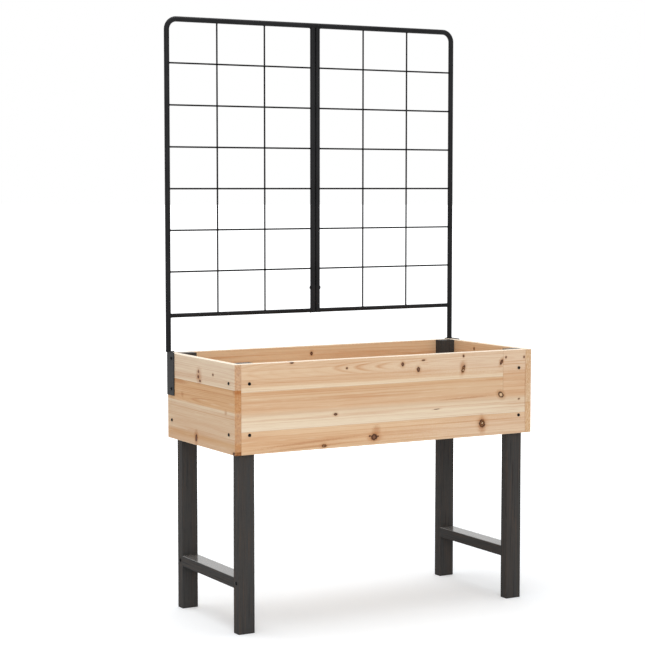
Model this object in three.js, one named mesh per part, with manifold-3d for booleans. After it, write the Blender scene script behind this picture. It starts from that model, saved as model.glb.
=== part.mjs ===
// A raised wooden planter box on four painted legs, with a steel wire trellis in two halves standing
// on its rear corners. Millimetres, +X along the front, +Y to the back, +Z up. The origin is on the
// ground under the middle of the box.
import * as THREE from "three";
import { mergeVertices } from "three/addons/utils/BufferGeometryUtils.js";
import Module from "manifold-3d";

const wasm = await Module();
wasm.setup();

// Between pieces
const fit = 0.3; // left open between any two pieces that touch
const easedEdge = 0.8; // chamfer along the edges of every board

// Box
const boxLength = 800;
const boxDepth = 350;
const rimHeight = 608;
const panelHeight = 202;
const panelThickness = 16;

// Floor of the box
const cleatSize = 20;
const cleatLift = 4; // from the bottom edge of the panels up to the cleats
const floorThickness = 12;
const floorBoards = 5;
const drainGap = 10.5;

// Underframe
const legWidth = 40;
const legDepth = 24;
const stretcherHeight = 25;
const stretcherClearance = 102; // from the ground to the stretchers
const tenonWidth = 24;
const tenonHeight = 13;
const tenonLength = 18;

// Wood screws
const shankRadius = 2;
const screwLength = 30;
const pointLength = 5;
const headRadius = 3.7;
const headHeight = 2.2;
const screwFromEdge = 44; // from a panel's top or bottom edge to its screws
const rearScrewInset = 6.5; // from a rear leg's back face to the screws driven in from the side
const drillSpare = 1.5; // how far a pilot hole runs on past the screw's point

// Trellis
const overallHeight = 1395;
const tubeDiameter = 12.7;
const tubeWall = 1.2;
const bendRadius = 25;
const tubeInset = 3; // from the box's end face to the middle of the frame tube
const tubeSetback = 2; // from the box's back face to the middle of the frame tube
const railDiameter = 10;
const railWall = 1;
const railAboveRim = 86;
const wireDiameter = 4;
const uprightWires = 2;
const levelWires = 6;
const lowestCellExtra = 2.5; // the lowest row of cells is this much taller than the others

// Foot brackets
const bracketWidth = 40;
const bracketReturn = 20; // the flange on the back of the box
const bracketHeight = 102;
const bracketThickness = 2;
const bracketScrewInset = 15;

// Joining the two halves
const boltAboveRail = 56;
const boltRadius = 2;
const boltLength = 14;
const boltHeadRadius = 4.2;
const boltHeadHeight = 1.1; // the nut's head is the same
const barrelRadius = 3; // the nut is a barrel that passes through both posts
const barrelInset = 1.5; // how far inside the left post the barrel ends
const spareThread = 1; // bore left past the bolt's end
const joiningPinLength = 60;
const joiningPinWall = 1.2;

// Roundness, in flat sides
const tubeSides = 20;
const wireSides = 10;
const screwSides = 12;
const bendSteps = 8;

const wood = new THREE.MeshStandardMaterial({ color: 0xd8b690, roughness: 0.6, metalness: 0 });
const paint = new THREE.MeshStandardMaterial({ color: 0x3a3835, roughness: 0.55, metalness: 0 });
const steel = new THREE.MeshStandardMaterial({ color: 0x1f1f20, roughness: 0.4, metalness: 0.2 });
const zinc = new THREE.MeshStandardMaterial({ color: 0x141414, roughness: 0.35, metalness: 0.6 });

// Levels and places that follow from the sizes above
const boxBottom = rimHeight - panelHeight;
const endFace = boxLength / 2;
const backFace = boxDepth / 2;
const sideInner = endFace - panelThickness;
const longInner = backFace - panelThickness;
const legX = sideInner - fit - legWidth / 2;
const legY = longInner - fit - legDepth / 2;
const legInnerX = legX - legWidth / 2;
const legInnerY = legY - legDepth / 2;
const floorBottom = boxBottom + cleatLift + cleatSize + fit;
const tubeRadius = tubeDiameter / 2;
const tubeX = endFace - tubeInset;
const tubeY = backFace + tubeSetback;
const topZ = overallHeight - tubeRadius;
const postX = tubeRadius + fit / 2;
const railRadius = railDiameter / 2;
const railZ = rimHeight + railAboveRim;
const boltZ = railZ + boltAboveRail;
const wireRadius = wireDiameter / 2;
const wireOffset = wireRadius + fit / 2; // the level wires cross in front of the upright ones
const bracketTop = rimHeight + fit + bracketThickness;
const bracketOuterX = endFace + fit + bracketThickness;
const bracketBackY = backFace + fit + bracketThickness;
const pilotRadius = shankRadius + fit;
const screwHeights = [boxBottom + screwFromEdge, rimHeight - screwFromEdge];

// ---------------------------------------------------------------- joining and cutting solids

function solid(geometry) {
  const bare = (geometry.index ? geometry : geometry.clone()).clone();
  bare.deleteAttribute("normal");
  bare.deleteAttribute("uv");
  const merged = mergeVertices(bare, 1e-4);
  const vertProperties = new Float32Array(merged.attributes.position.array);
  const triVerts = new Uint32Array(merged.index.array);
  return new wasm.Manifold(new wasm.Mesh({ numProp: 3, vertProperties, triVerts }));
}

function geometryOf(body) {
  const made = body.getMesh();
  const geometry = new THREE.BufferGeometry();
  geometry.setAttribute("position", new THREE.BufferAttribute(made.vertProperties, 3));
  geometry.setIndex(new THREE.BufferAttribute(made.triVerts, 1));
  const faceted = geometry.toNonIndexed();
  faceted.computeVertexNormals();
  return faceted;
}

function cut(geometry, tools) {
  return geometryOf(tools.reduce((body, tool) => body.subtract(solid(tool)), solid(geometry)));
}

function join(geometries) {
  return geometryOf(geometries.map(solid).reduce((body, other) => body.add(other)));
}

function named(name, geometry, material) {
  const mesh = new THREE.Mesh(geometry, material);
  mesh.name = name;
  return mesh;
}

// ---------------------------------------------------------------- shapes

// A sawn board centred on the origin, its twelve edges eased.
function board(sizeX, sizeY, sizeZ) {
  const outline = new THREE.Shape();
  const halfX = sizeX / 2 - easedEdge;
  const halfY = sizeY / 2 - easedEdge;
  outline.moveTo(-halfX, -halfY);
  outline.lineTo(halfX, -halfY);
  outline.lineTo(halfX, halfY);
  outline.lineTo(-halfX, halfY);
  return easedExtrusion(outline, sizeZ);
}

// A flat outline given thickness, with eased edges, centred in height. The outline is drawn
// inside the finished one by the width of the easing.
function easedExtrusion(outline, thickness) {
  const geometry = new THREE.ExtrudeGeometry(outline, {
    depth: thickness - 2 * easedEdge,
    bevelThickness: easedEdge,
    bevelSize: easedEdge,
    bevelSegments: 1,
    steps: 1,
  });
  return geometry.translate(0, 0, easedEdge - thickness / 2);
}

// A round rod from z = 0 up.
function rod(radius, length, sides) {
  const geometry = new THREE.CylinderGeometry(radius, radius, length, sides);
  return geometry.rotateX(Math.PI / 2).translate(0, 0, length / 2);
}

// A hollow tube from z = 0 up.
function pipe(radius, wall, length) {
  const bore = radius - wall;
  const ring = [
    new THREE.Vector2(bore, 0),
    new THREE.Vector2(radius, 0),
    new THREE.Vector2(radius, length),
    new THREE.Vector2(bore, length),
    new THREE.Vector2(bore, 0),
  ];
  return new THREE.LatheGeometry(ring, tubeSides).rotateX(Math.PI / 2);
}

// A rod or pipe standing along +Z, laid along +X, +Y or their opposites.
function along(geometry, direction) {
  const turn = new THREE.Quaternion();
  turn.setFromUnitVectors(new THREE.Vector3(0, 0, 1), direction);
  return geometry.applyQuaternion(turn);
}

const toRight = new THREE.Vector3(1, 0, 0);
const toFront = new THREE.Vector3(0, -1, 0);

// ---------------------------------------------------------------- wood screws

// A pan-head wood screw, its head's underside at z = 0 and its point down.
function screwGeometry() {
  const profile = [
    new THREE.Vector2(0, -screwLength),
    new THREE.Vector2(shankRadius, pointLength - screwLength),
    new THREE.Vector2(shankRadius, 0),
    new THREE.Vector2(headRadius, 0),
    new THREE.Vector2(headRadius, headHeight * 0.4),
    new THREE.Vector2(headRadius * 0.7, headHeight * 0.85),
    new THREE.Vector2(0, headHeight),
  ];
  return new THREE.LatheGeometry(profile, screwSides).rotateX(Math.PI / 2);
}

// A screw driven into a face that looks the given way.
function screw(name, x, y, z, outward) {
  const mesh = named(name, along(screwGeometry(), outward), zinc);
  mesh.position.set(x, y, z).addScaledVector(outward, fit);
  return mesh;
}

// The hole for one, bored from its face; the cutter starts a little outside the wood.
function pilot(x, y, z, outward) {
  const inward = outward.clone().negate();
  const length = screwLength + drillSpare;
  return along(rod(pilotRadius, length, screwSides), inward).translate(x, y, z);
}

// Places of the screws on the right-hand side; the left-hand side mirrors them.
const frontScrews = screwHeights.map((z) => [legX, -backFace, z]);
const rearScrewY = legY + legDepth / 2 - rearScrewInset;
const sideScrews = [
  [endFace, -legY, screwHeights[0]],
  [endFace, -legY, screwHeights[1]],
  [endFace, rearScrewY, screwHeights[0]],
];
const bracketScrews = [
  [bracketOuterX, rearScrewY, bracketTop - bracketHeight + bracketScrewInset],
  [bracketOuterX, rearScrewY, bracketTop - bracketScrewInset],
];

// ---------------------------------------------------------------- box

// Long panel: its screws go into the legs at both ends.
function frontPanel() {
  const blank = board(2 * (sideInner - fit), panelThickness, panelHeight);
  const middleY = panelThickness / 2 - backFace;
  const middleZ = rimHeight - panelHeight / 2;
  blank.translate(0, middleY, middleZ);
  const holes = frontScrews.flatMap(([x, y, z]) => [
    pilot(x, y - fit, z, toFront),
    pilot(-x, y - fit, z, toFront),
  ]);
  return named("front_panel", cut(blank, holes), wood);
}

function rearPanel() {
  const blank = board(2 * (sideInner - fit), panelThickness, panelHeight);
  const mesh = named("rear_panel", blank, wood);
  mesh.position.set(0, backFace - panelThickness / 2, rimHeight - panelHeight / 2);
  return mesh;
}

function sidePanel() {
  const blank = board(panelThickness, boxDepth, panelHeight);
  blank.translate(endFace - panelThickness / 2, 0, rimHeight - panelHeight / 2);
  const holes = [...sideScrews, ...bracketScrews].map(([x, y, z]) => pilot(x + fit, y, z, toRight));
  return cut(blank, holes);
}

function cleat(name, side) {
  const blank = board(2 * (legInnerX - fit), cleatSize, cleatSize);
  const mesh = named(name, blank, wood);
  mesh.position.set(0, side * (longInner - fit - cleatSize / 2), floorBottom - fit - cleatSize / 2);
  return mesh;
}

// Floor boards lie across the box. The two at the ends are notched round the legs.
function floorBoard(index) {
  const inside = 2 * (sideInner - fit);
  const width = (inside - (floorBoards - 1) * drainGap) / floorBoards;
  const left = index * (width + drainGap) - inside / 2;
  const right = left + width;
  const halfLength = longInner - fit - easedEdge;
  const halfWaist = legInnerY - fit - easedEdge;
  const clearOfLegs = legInnerX - fit - easedEdge;
  const a = left + easedEdge;
  const b = right - easedEdge;
  const notchedLeft = a < -clearOfLegs;
  const notchedRight = b > clearOfLegs;
  const outline = new THREE.Shape();
  if (notchedLeft) {
    outline.moveTo(a, halfWaist);
    outline.lineTo(a, -halfWaist);
    outline.lineTo(-clearOfLegs, -halfWaist);
    outline.lineTo(-clearOfLegs, -halfLength);
  } else {
    outline.moveTo(a, halfLength);
    outline.lineTo(a, -halfLength);
  }
  if (notchedRight) {
    outline.lineTo(clearOfLegs, -halfLength);
    outline.lineTo(clearOfLegs, -halfWaist);
    outline.lineTo(b, -halfWaist);
    outline.lineTo(b, halfWaist);
    outline.lineTo(clearOfLegs, halfWaist);
    outline.lineTo(clearOfLegs, halfLength);
  } else {
    outline.lineTo(b, -halfLength);
    outline.lineTo(b, halfLength);
  }
  if (notchedLeft) {
    outline.lineTo(-clearOfLegs, halfLength);
    outline.lineTo(-clearOfLegs, halfWaist);
  }
  const mesh = named(`floor_board_${index + 1}`, easedExtrusion(outline, floorThickness), wood);
  mesh.position.z = floorBottom + floorThickness / 2;
  return mesh;
}

// ---------------------------------------------------------------- underframe

// A leg on the right-hand side, with its mortise for the stretcher and its pilot holes.
function leg(side) {
  const blank = board(legWidth, legDepth, rimHeight);
  blank.translate(legX, side * legY, rimHeight / 2);
  const mortise = new THREE.BoxGeometry(
    tenonWidth + 2 * fit,
    2 * (tenonLength + fit),
    tenonHeight + 2 * fit,
  );
  mortise.translate(legX, side * legInnerY, stretcherClearance + stretcherHeight / 2);
  const fromSide = [...sideScrews, ...bracketScrews]
    .filter(([, y]) => Math.sign(y) === side)
    .map(([x, y, z]) => pilot(x, y, z, toRight));
  const fromFront = side < 0 ? frontScrews.map(([x, y, z]) => pilot(x, y, z, toFront)) : [];
  return cut(blank, [mortise, ...fromSide, ...fromFront]);
}

function stretcher() {
  const rail = board(legWidth, 2 * (legInnerY - fit), stretcherHeight);
  const reach = legInnerY + tenonLength;
  const tenons = new THREE.BoxGeometry(tenonWidth, 2 * reach, tenonHeight);
  const middleZ = stretcherClearance + stretcherHeight / 2;
  return join([rail, tenons]).translate(legX, 0, middleZ);
}

// ---------------------------------------------------------------- trellis

// The middle line of a frame tube: up the side, round the corner and in to the middle of the top.
class FrameLine extends THREE.Curve {
  getPointAt(u) {
    const step = u * (bendSteps + 2);
    const cornerX = tubeX - bendRadius;
    const cornerZ = topZ - bendRadius;
    if (step < 1) {
      const foot = bracketTop + fit;
      return new THREE.Vector3(tubeX, tubeY, foot + step * (cornerZ - foot));
    }
    if (step > bendSteps + 1) {
      const share = step - bendSteps - 1;
      return new THREE.Vector3(cornerX + share * (fit / 2 - cornerX), tubeY, topZ);
    }
    const turned = ((step - 1) / bendSteps) * (Math.PI / 2);
    const x = cornerX + bendRadius * Math.cos(turned);
    const z = cornerZ + bendRadius * Math.sin(turned);
    return new THREE.Vector3(x, tubeY, z);
  }
  getTangentAt(u) {
    const step = u * (bendSteps + 2);
    const turned = THREE.MathUtils.clamp((step - 1) / bendSteps, 0, 1) * (Math.PI / 2);
    return new THREE.Vector3(-Math.sin(turned), 0, Math.cos(turned));
  }
}

function frameTube() {
  const section = new THREE.Shape();
  section.absarc(0, 0, tubeRadius, 0, 2 * Math.PI, false);
  const bore = new THREE.Path();
  bore.absarc(0, 0, tubeRadius - tubeWall, 0, 2 * Math.PI, true);
  section.holes.push(bore);
  return new THREE.ExtrudeGeometry(section, {
    steps: bendSteps + 2,
    curveSegments: tubeSides / 2,
    extrudePath: new FrameLine(),
  });
}

// Solid rods that stand for a tube and the gap round it, to cope another piece against it.
function topTubeCutter() {
  return along(rod(tubeRadius + fit, boxLength, tubeSides), toRight).translate(
    -boxLength / 2,
    tubeY,
    topZ,
  );
}

function uprightCutter(x) {
  return rod(tubeRadius + fit, overallHeight, tubeSides).translate(x, tubeY, 0);
}

function railCutter() {
  return along(rod(railRadius + fit, boxLength, tubeSides), toRight).translate(0, tubeY, railZ);
}

// A post's upper end is coped to the top tube. The joining nut's barrel passes through it.
function centrePost() {
  const foot = railZ - railRadius;
  const blank = pipe(tubeRadius, tubeWall, topZ - foot).translate(postX, tubeY, foot);
  const hole = along(rod(barrelRadius + fit, 4 * tubeRadius, screwSides), toRight);
  hole.translate(-tubeRadius, tubeY, boltZ);
  return cut(blank, [topTubeCutter(), hole]);
}

// A bottom rail is coped to the post at one end and to the frame tube at the other.
function bottomRail() {
  const blank = pipe(railRadius, railWall, tubeX - postX);
  along(blank, toRight).translate(postX, tubeY, railZ);
  return cut(blank, [uprightCutter(postX), uprightCutter(tubeX)]);
}

function uprightWire(index) {
  const clear = (tubeX - postX - tubeDiameter - uprightWires * wireDiameter) / (uprightWires + 1);
  const x = postX + tubeRadius + (index + 1) * (clear + wireDiameter) - wireRadius;
  const blank = rod(wireRadius, topZ - railZ, wireSides);
  blank.translate(x, tubeY + wireOffset, railZ);
  return cut(blank, [topTubeCutter(), railCutter()]);
}

function levelWire(index) {
  const span = topZ - tubeRadius - railZ - railRadius - lowestCellExtra;
  const clear = (span - levelWires * wireDiameter) / (levelWires + 1);
  const z = topZ - tubeRadius - (index + 1) * (clear + wireDiameter) + wireRadius;
  const blank = rod(wireRadius, tubeX - postX, wireSides);
  along(blank, toRight).translate(postX, tubeY - wireOffset, z);
  return cut(blank, [uprightCutter(postX), uprightCutter(tubeX)]);
}

// A foot bracket: sheet steel folded round the rear corner of the box, with a tongue over the rim
// on which the frame tube is welded.
function footBracket() {
  const angle = new THREE.Shape();
  angle.moveTo(bracketOuterX, bracketBackY);
  angle.lineTo(bracketOuterX - bracketReturn, bracketBackY);
  angle.lineTo(bracketOuterX - bracketReturn, bracketBackY - bracketThickness);
  angle.lineTo(bracketOuterX - bracketThickness, bracketBackY - bracketThickness);
  angle.lineTo(bracketOuterX - bracketThickness, bracketBackY - bracketWidth);
  angle.lineTo(bracketOuterX, bracketBackY - bracketWidth);
  const corner = new THREE.ExtrudeGeometry(angle, { depth: bracketHeight, bevelEnabled: false });
  corner.translate(0, 0, bracketTop - bracketHeight);
  const tongue = new THREE.Shape();
  const innerX = tubeX - tubeRadius;
  tongue.moveTo(bracketOuterX, tubeY);
  tongue.absarc(tubeX, tubeY, tubeRadius, Math.acos((bracketOuterX - tubeX) / tubeRadius), Math.PI);
  tongue.lineTo(innerX, tubeY - tubeDiameter);
  tongue.lineTo(bracketOuterX, tubeY - tubeDiameter);
  const pad = new THREE.ExtrudeGeometry(tongue, {
    depth: bracketThickness,
    bevelEnabled: false,
    curveSegments: 8,
  });
  pad.translate(0, 0, bracketTop - bracketThickness);
  const folded = solid(corner).add(solid(pad));
  const holes = bracketScrews.map(([x, y, z]) => pilot(x + fit, y, z, toRight));
  return cut(geometryOf(folded), holes);
}

// ---------------------------------------------------------------- joining the halves

const postOuter = postX + tubeRadius;

// A pin inside the two tube ends at the top of the trellis.
function joiningPin() {
  const bore = (tubeRadius - tubeWall) * Math.cos(Math.PI / tubeSides);
  const pin = pipe(bore - fit, joiningPinWall, joiningPinLength);
  along(pin, toRight).translate(-joiningPinLength / 2, tubeY, topZ);
  return named("joining_pin", pin, steel);
}

function joiningBolt() {
  const under = -postOuter - fit;
  const reach = under + boltLength;
  const profile = [
    new THREE.Vector2(0, under - boltHeadHeight),
    new THREE.Vector2(boltHeadRadius * 0.8, under - boltHeadHeight),
    new THREE.Vector2(boltHeadRadius, under - boltHeadHeight / 2),
    new THREE.Vector2(boltHeadRadius, under),
    new THREE.Vector2(boltRadius, under),
    new THREE.Vector2(boltRadius, reach),
    new THREE.Vector2(0, reach),
  ];
  const bolt = new THREE.LatheGeometry(profile, screwSides).rotateX(Math.PI / 2);
  along(bolt, toRight).translate(0, tubeY, boltZ);
  return named("joining_bolt", bolt, zinc);
}

// A barrel nut: a low round head on the right post, and a barrel that the bolt screws into.
function joiningNut() {
  const under = postOuter + fit;
  const open = barrelInset - postOuter;
  const head = rod(boltHeadRadius, boltHeadHeight, screwSides).translate(0, 0, under);
  const barrel = rod(barrelRadius, under + boltHeadHeight / 2 - open, screwSides);
  barrel.translate(0, 0, open);
  const bore = rod(boltRadius + fit, boltLength + spareThread, screwSides);
  bore.translate(0, 0, -under);
  const nut = cut(join([head, barrel]), [bore]);
  along(nut, toRight).translate(0, tubeY, boltZ);
  return named("joining_nut", nut, zinc);
}

// ---------------------------------------------------------------- assembly

const planter = new THREE.Group();

planter.add(frontPanel(), rearPanel());
planter.add(cleat("front_cleat", -1), cleat("rear_cleat", 1));
for (let index = 0; index < floorBoards; index += 1) {
  planter.add(floorBoard(index));
}
planter.add(joiningPin(), joiningBolt(), joiningNut());

// One side of the planter with its half of the trellis, drawn for the right-hand side.
function half(side) {
  const group = new THREE.Group();
  group.scale.x = side === "left" ? -1 : 1;
  group.add(named(`${side}_panel`, sidePanel(), wood));
  group.add(named(`${side}_front_leg`, leg(-1), paint));
  group.add(named(`${side}_rear_leg`, leg(1), paint));
  group.add(named(`${side}_stretcher`, stretcher(), paint));
  group.add(named(`${side}_frame_tube`, frameTube(), steel));
  group.add(named(`${side}_centre_post`, centrePost(), steel));
  group.add(named(`${side}_bottom_rail`, bottomRail(), steel));
  for (let index = 0; index < uprightWires; index += 1) {
    group.add(named(`${side}_upright_wire_${index + 1}`, uprightWire(index), steel));
  }
  for (let index = 0; index < levelWires; index += 1) {
    group.add(named(`${side}_level_wire_${index + 1}`, levelWire(index), steel));
  }
  group.add(named(`${side}_foot_bracket`, footBracket(), steel));
  frontScrews.forEach(([x, y, z], index) => {
    group.add(screw(`${side}_front_screw_${index + 1}`, x, y, z, toFront));
  });
  sideScrews.forEach(([x, y, z], index) => {
    group.add(screw(`${side}_panel_screw_${index + 1}`, x, y, z, toRight));
  });
  bracketScrews.forEach(([x, y, z], index) => {
    group.add(screw(`${side}_bracket_screw_${index + 1}`, x, y, z, toRight));
  });
  return group;
}

planter.add(half("left"), half("right"));

export default planter;
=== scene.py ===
"""A raised wooden planter box with a steel wire trellis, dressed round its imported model."""

import math

import bmesh
import bpy
import numpy as np
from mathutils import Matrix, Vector


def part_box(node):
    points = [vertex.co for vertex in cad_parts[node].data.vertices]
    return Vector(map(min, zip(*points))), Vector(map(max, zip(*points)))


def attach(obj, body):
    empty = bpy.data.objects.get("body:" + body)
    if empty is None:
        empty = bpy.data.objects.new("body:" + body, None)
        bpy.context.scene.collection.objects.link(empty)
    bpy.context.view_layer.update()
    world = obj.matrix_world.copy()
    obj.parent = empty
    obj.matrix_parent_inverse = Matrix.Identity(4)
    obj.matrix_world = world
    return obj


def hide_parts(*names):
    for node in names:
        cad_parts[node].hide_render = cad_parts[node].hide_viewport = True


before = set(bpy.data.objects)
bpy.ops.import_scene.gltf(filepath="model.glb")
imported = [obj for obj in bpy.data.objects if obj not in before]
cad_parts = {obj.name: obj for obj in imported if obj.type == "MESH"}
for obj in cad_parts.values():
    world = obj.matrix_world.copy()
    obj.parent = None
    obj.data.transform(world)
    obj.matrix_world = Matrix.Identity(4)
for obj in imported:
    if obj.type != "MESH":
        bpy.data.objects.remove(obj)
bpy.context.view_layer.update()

# ---------------------------------------------------------------- camera
# A long lens, low and to the left of the planter's front, tipped down a little.

camera = bpy.data.objects.new("camera", bpy.data.cameras.new("camera"))
bpy.context.scene.collection.objects.link(camera)
camera.data.sensor_width = 36
camera.data.lens = 101.0
camera.data.clip_end = 100
camera.location = (-2.180, -3.7067, 0.9978)
camera.rotation_euler = (math.radians(90 - 4.294), 0, math.radians(-29.544))
bpy.context.scene.camera = camera
bpy.context.scene.view_settings.view_transform = "Standard"

# ---------------------------------------------------------------- studio
# A white room: a wide soft lamp overhead, a weaker one at the front, and a pale floor that keeps
# the planter's shadow and goes over into the white behind it.


def linear(hex_colour):
    """An sRGB hex colour as linear RGBA: each channel goes through the sRGB curve's inverse."""
    srgb = np.array([int(hex_colour[i : i + 2], 16) for i in (1, 3, 5)]) / 255
    low, high = srgb / 12.92, ((srgb + 0.055) / 1.055) ** 2.4
    return (*np.where(srgb <= 0.04045, low, high).tolist(), 1.0)


def node(tree, kind, inputs=(), stops=(), **settings):
    """Adds a shader node. inputs are values, hex colours, sockets or other nodes, in order or by
    name. stops are a ramp's (place, hex colour or grey level)."""
    made = tree.nodes.new("ShaderNode" + kind)
    for name, value in settings.items():
        setattr(made, name, value)
    inputs = inputs if isinstance(inputs, dict) else dict(enumerate(inputs))
    for key, value in inputs.items():
        source = value.outputs[0] if isinstance(value, bpy.types.Node) else value
        if isinstance(source, bpy.types.NodeSocket):
            tree.links.new(source, made.inputs[key])
        else:
            made.inputs[key].default_value = linear(value) if isinstance(value, str) else value
    for index, (place, tone) in enumerate(stops):
        elements = made.color_ramp.elements
        element = elements[index] if index < 2 else elements.new(1.0)
        element.color = linear(tone) if isinstance(tone, str) else (tone, tone, tone, 1.0)
        element.position = place
    return made


def blank_tree(owner):
    """Turns nodes on for a material or world and empties its tree."""
    owner.use_nodes = True
    owner.node_tree.nodes.clear()
    return owner.node_tree


def seen_directly(tree):
    """1 for rays from the camera and for those that gloss or glass sends on, else 0."""
    path = node(tree, "LightPath")
    seen = path.outputs["Is Camera Ray"]
    for kind in ("Is Glossy Ray", "Is Transmission Ray"):
        seen = node(tree, "Math", [seen, path.outputs[kind]], operation="ADD", use_clamp=True)
    return seen


white = (1.0, 1.0, 1.0, 1.0)
room_light, seen_light = 0.56, 1.0
world = bpy.data.worlds.new("white_room")
bpy.context.scene.world = world
tree = blank_tree(world)
dim = node(tree, "Background", {"Color": white, "Strength": room_light})
bright = node(tree, "Background", {"Color": white, "Strength": seen_light})
room = node(tree, "MixShader", [seen_directly(tree), dim, bright])
node(tree, "OutputWorld", {"Surface": room})

eased = {"interpolation_type": "SMOOTHSTEP"}
half_floor = 150.0
floor_albedo = (0.782, 0.804, 0.826, 1.0)
glow_near, glow_far = 0.29, 1.0
near_radius, far_radius = 0.9, 2.4
floor_mesh = bpy.data.meshes.new("studio_floor")
corners = [(-1, -1), (1, -1), (1, 1), (-1, 1)]
corners = [(x * half_floor, y * half_floor, 0) for x, y in corners]
floor_mesh.from_pydata(corners, [], [(0, 1, 2, 3)])
floor = bpy.data.objects.new("studio_floor", floor_mesh)
bpy.context.scene.collection.objects.link(floor)
floor_paint = bpy.data.materials.new("white_studio_floor")
floor_mesh.materials.append(floor_paint)
tree = blank_tree(floor_paint)
place = node(tree, "TexCoord")
away = node(tree, "VectorMath", [place.outputs["Object"]], operation="LENGTH")
inputs = [away.outputs["Value"], near_radius, far_radius, glow_near, glow_far]
glow = node(tree, "MapRange", inputs, **eased)
glow = node(tree, "Math", [glow, seen_directly(tree)], operation="MULTIPLY")
glow = node(tree, "Emission", {"Color": white, "Strength": glow})
matt = node(tree, "BsdfDiffuse", {"Color": floor_albedo})
both = node(tree, "AddShader", [matt, glow])
side_seen = node(tree, "NewGeometry").outputs["Backfacing"]
clear = node(tree, "BsdfTransparent")
from_below = node(tree, "MixShader", [side_seen, both, clear])
node(tree, "OutputMaterial", {"Surface": from_below})


def softbox(name, place, aim, width, height, power):
    """A rectangular lamp at a place, turned to face a point."""
    lamp = bpy.data.lights.new(name, "AREA")
    lamp.shape = "RECTANGLE"
    lamp.size, lamp.size_y, lamp.energy = width, height, power
    holder = bpy.data.objects.new(name, lamp)
    holder.location = place
    direction = Vector(aim) - Vector(place)
    holder.rotation_euler = direction.to_track_quat("-Z", "Y").to_euler()
    bpy.context.scene.collection.objects.link(holder)


softbox("top_softbox", (-0.2, 0.4, 3.8), (0, 0, 0.4), 3.4, 2.8, 90)
softbox("front_softbox", (-1.7, -4.1, 2.0), (0, 0, 0.7), 3.0, 2.4, 72)

# ---------------------------------------------------------------- panels of the box
# Four panels of planed white fir, 16 mm thick, each glued up from narrow strips and oiled clear.
# The long ones stand between the side ones, whose end grain shows at the front.

lengthwise = "XZY"  # the object's axes along the grain, across the face and through the board
sideways = "YZX"
no_knot = 9.0  # a distance, in a knot's radii, at which it no longer shows
facing_limit = 0.6  # a face looks along an axis where its normal's part along it is greater


def grain_space(tree, order):
    """Object coordinates as (along the grain, across the face, through the board)."""
    place = node(tree, "TexCoord")
    split = node(tree, "SeparateXYZ", [place.outputs["Object"]])
    axes = {i: split.outputs[letter] for i, letter in enumerate(order)}
    return node(tree, "CombineXYZ", axes)


def grain_noise(tree, space, length, width, shift, detail=3.0):
    """Noise from -0.5 to 0.5, drawn out along the grain, with features of that length and width
    in metres: the space is divided by them and moved by shift."""
    scale, moved = (1 / length, 1 / width, 1 / width), (shift, 1.7 * shift, 0.6 * shift)
    inputs = [space, scale, moved]
    scaled = node(tree, "VectorMath", inputs, operation="MULTIPLY_ADD")
    inputs = {"Vector": scaled, "Scale": 1.0, "Detail": detail, "Roughness": 0.55}
    noise = node(tree, "TexNoise", inputs)
    return node(tree, "Math", [noise, 0.5], operation="SUBTRACT")


def knot_field(tree, space, across, knots):
    """For knots given as (along, across, half length, half width, turn): the distance to the
    nearest in its own radii, roughened, and the sum over all of (knot's place across - place) *
    pull * fade^(distance^2), which parts the growth rings round them."""
    pull, fade, grit, roughened = 0.9, 0.72, 0.004, 0.8
    flat = node(tree, "VectorMath", [space, (1, 1, 0)], operation="MULTIPLY")
    nearest, parting = no_knot, 0.0
    for along, level, length, width, turn in knots:
        inputs = [flat, (along, level, 0), (0, 0, turn), (length, width, 1)]
        own = node(tree, "Mapping", inputs, vector_type="TEXTURE")
        own = node(tree, "VectorMath", [own], operation="LENGTH").outputs["Value"]
        nearest = node(tree, "Math", [own, nearest], operation="MINIMUM")
        squared = node(tree, "Math", [own, own], operation="MULTIPLY")
        fall = node(tree, "Math", [fade, squared], operation="POWER")
        offset = node(tree, "Math", [level, across], operation="SUBTRACT")
        offset = node(tree, "Math", [offset, pull], operation="MULTIPLY")
        parting = node(tree, "Math", [offset, fall, parting], operation="MULTIPLY_ADD")
    rough = grain_noise(tree, space, grit, grit, 3.1)
    return node(tree, "Math", [rough, roughened, nearest], operation="MULTIPLY_ADD"), parting


oiled_ends = ("#955524", "#b3743c", "#c69360")  # end grain: dark, middle and pale


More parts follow.
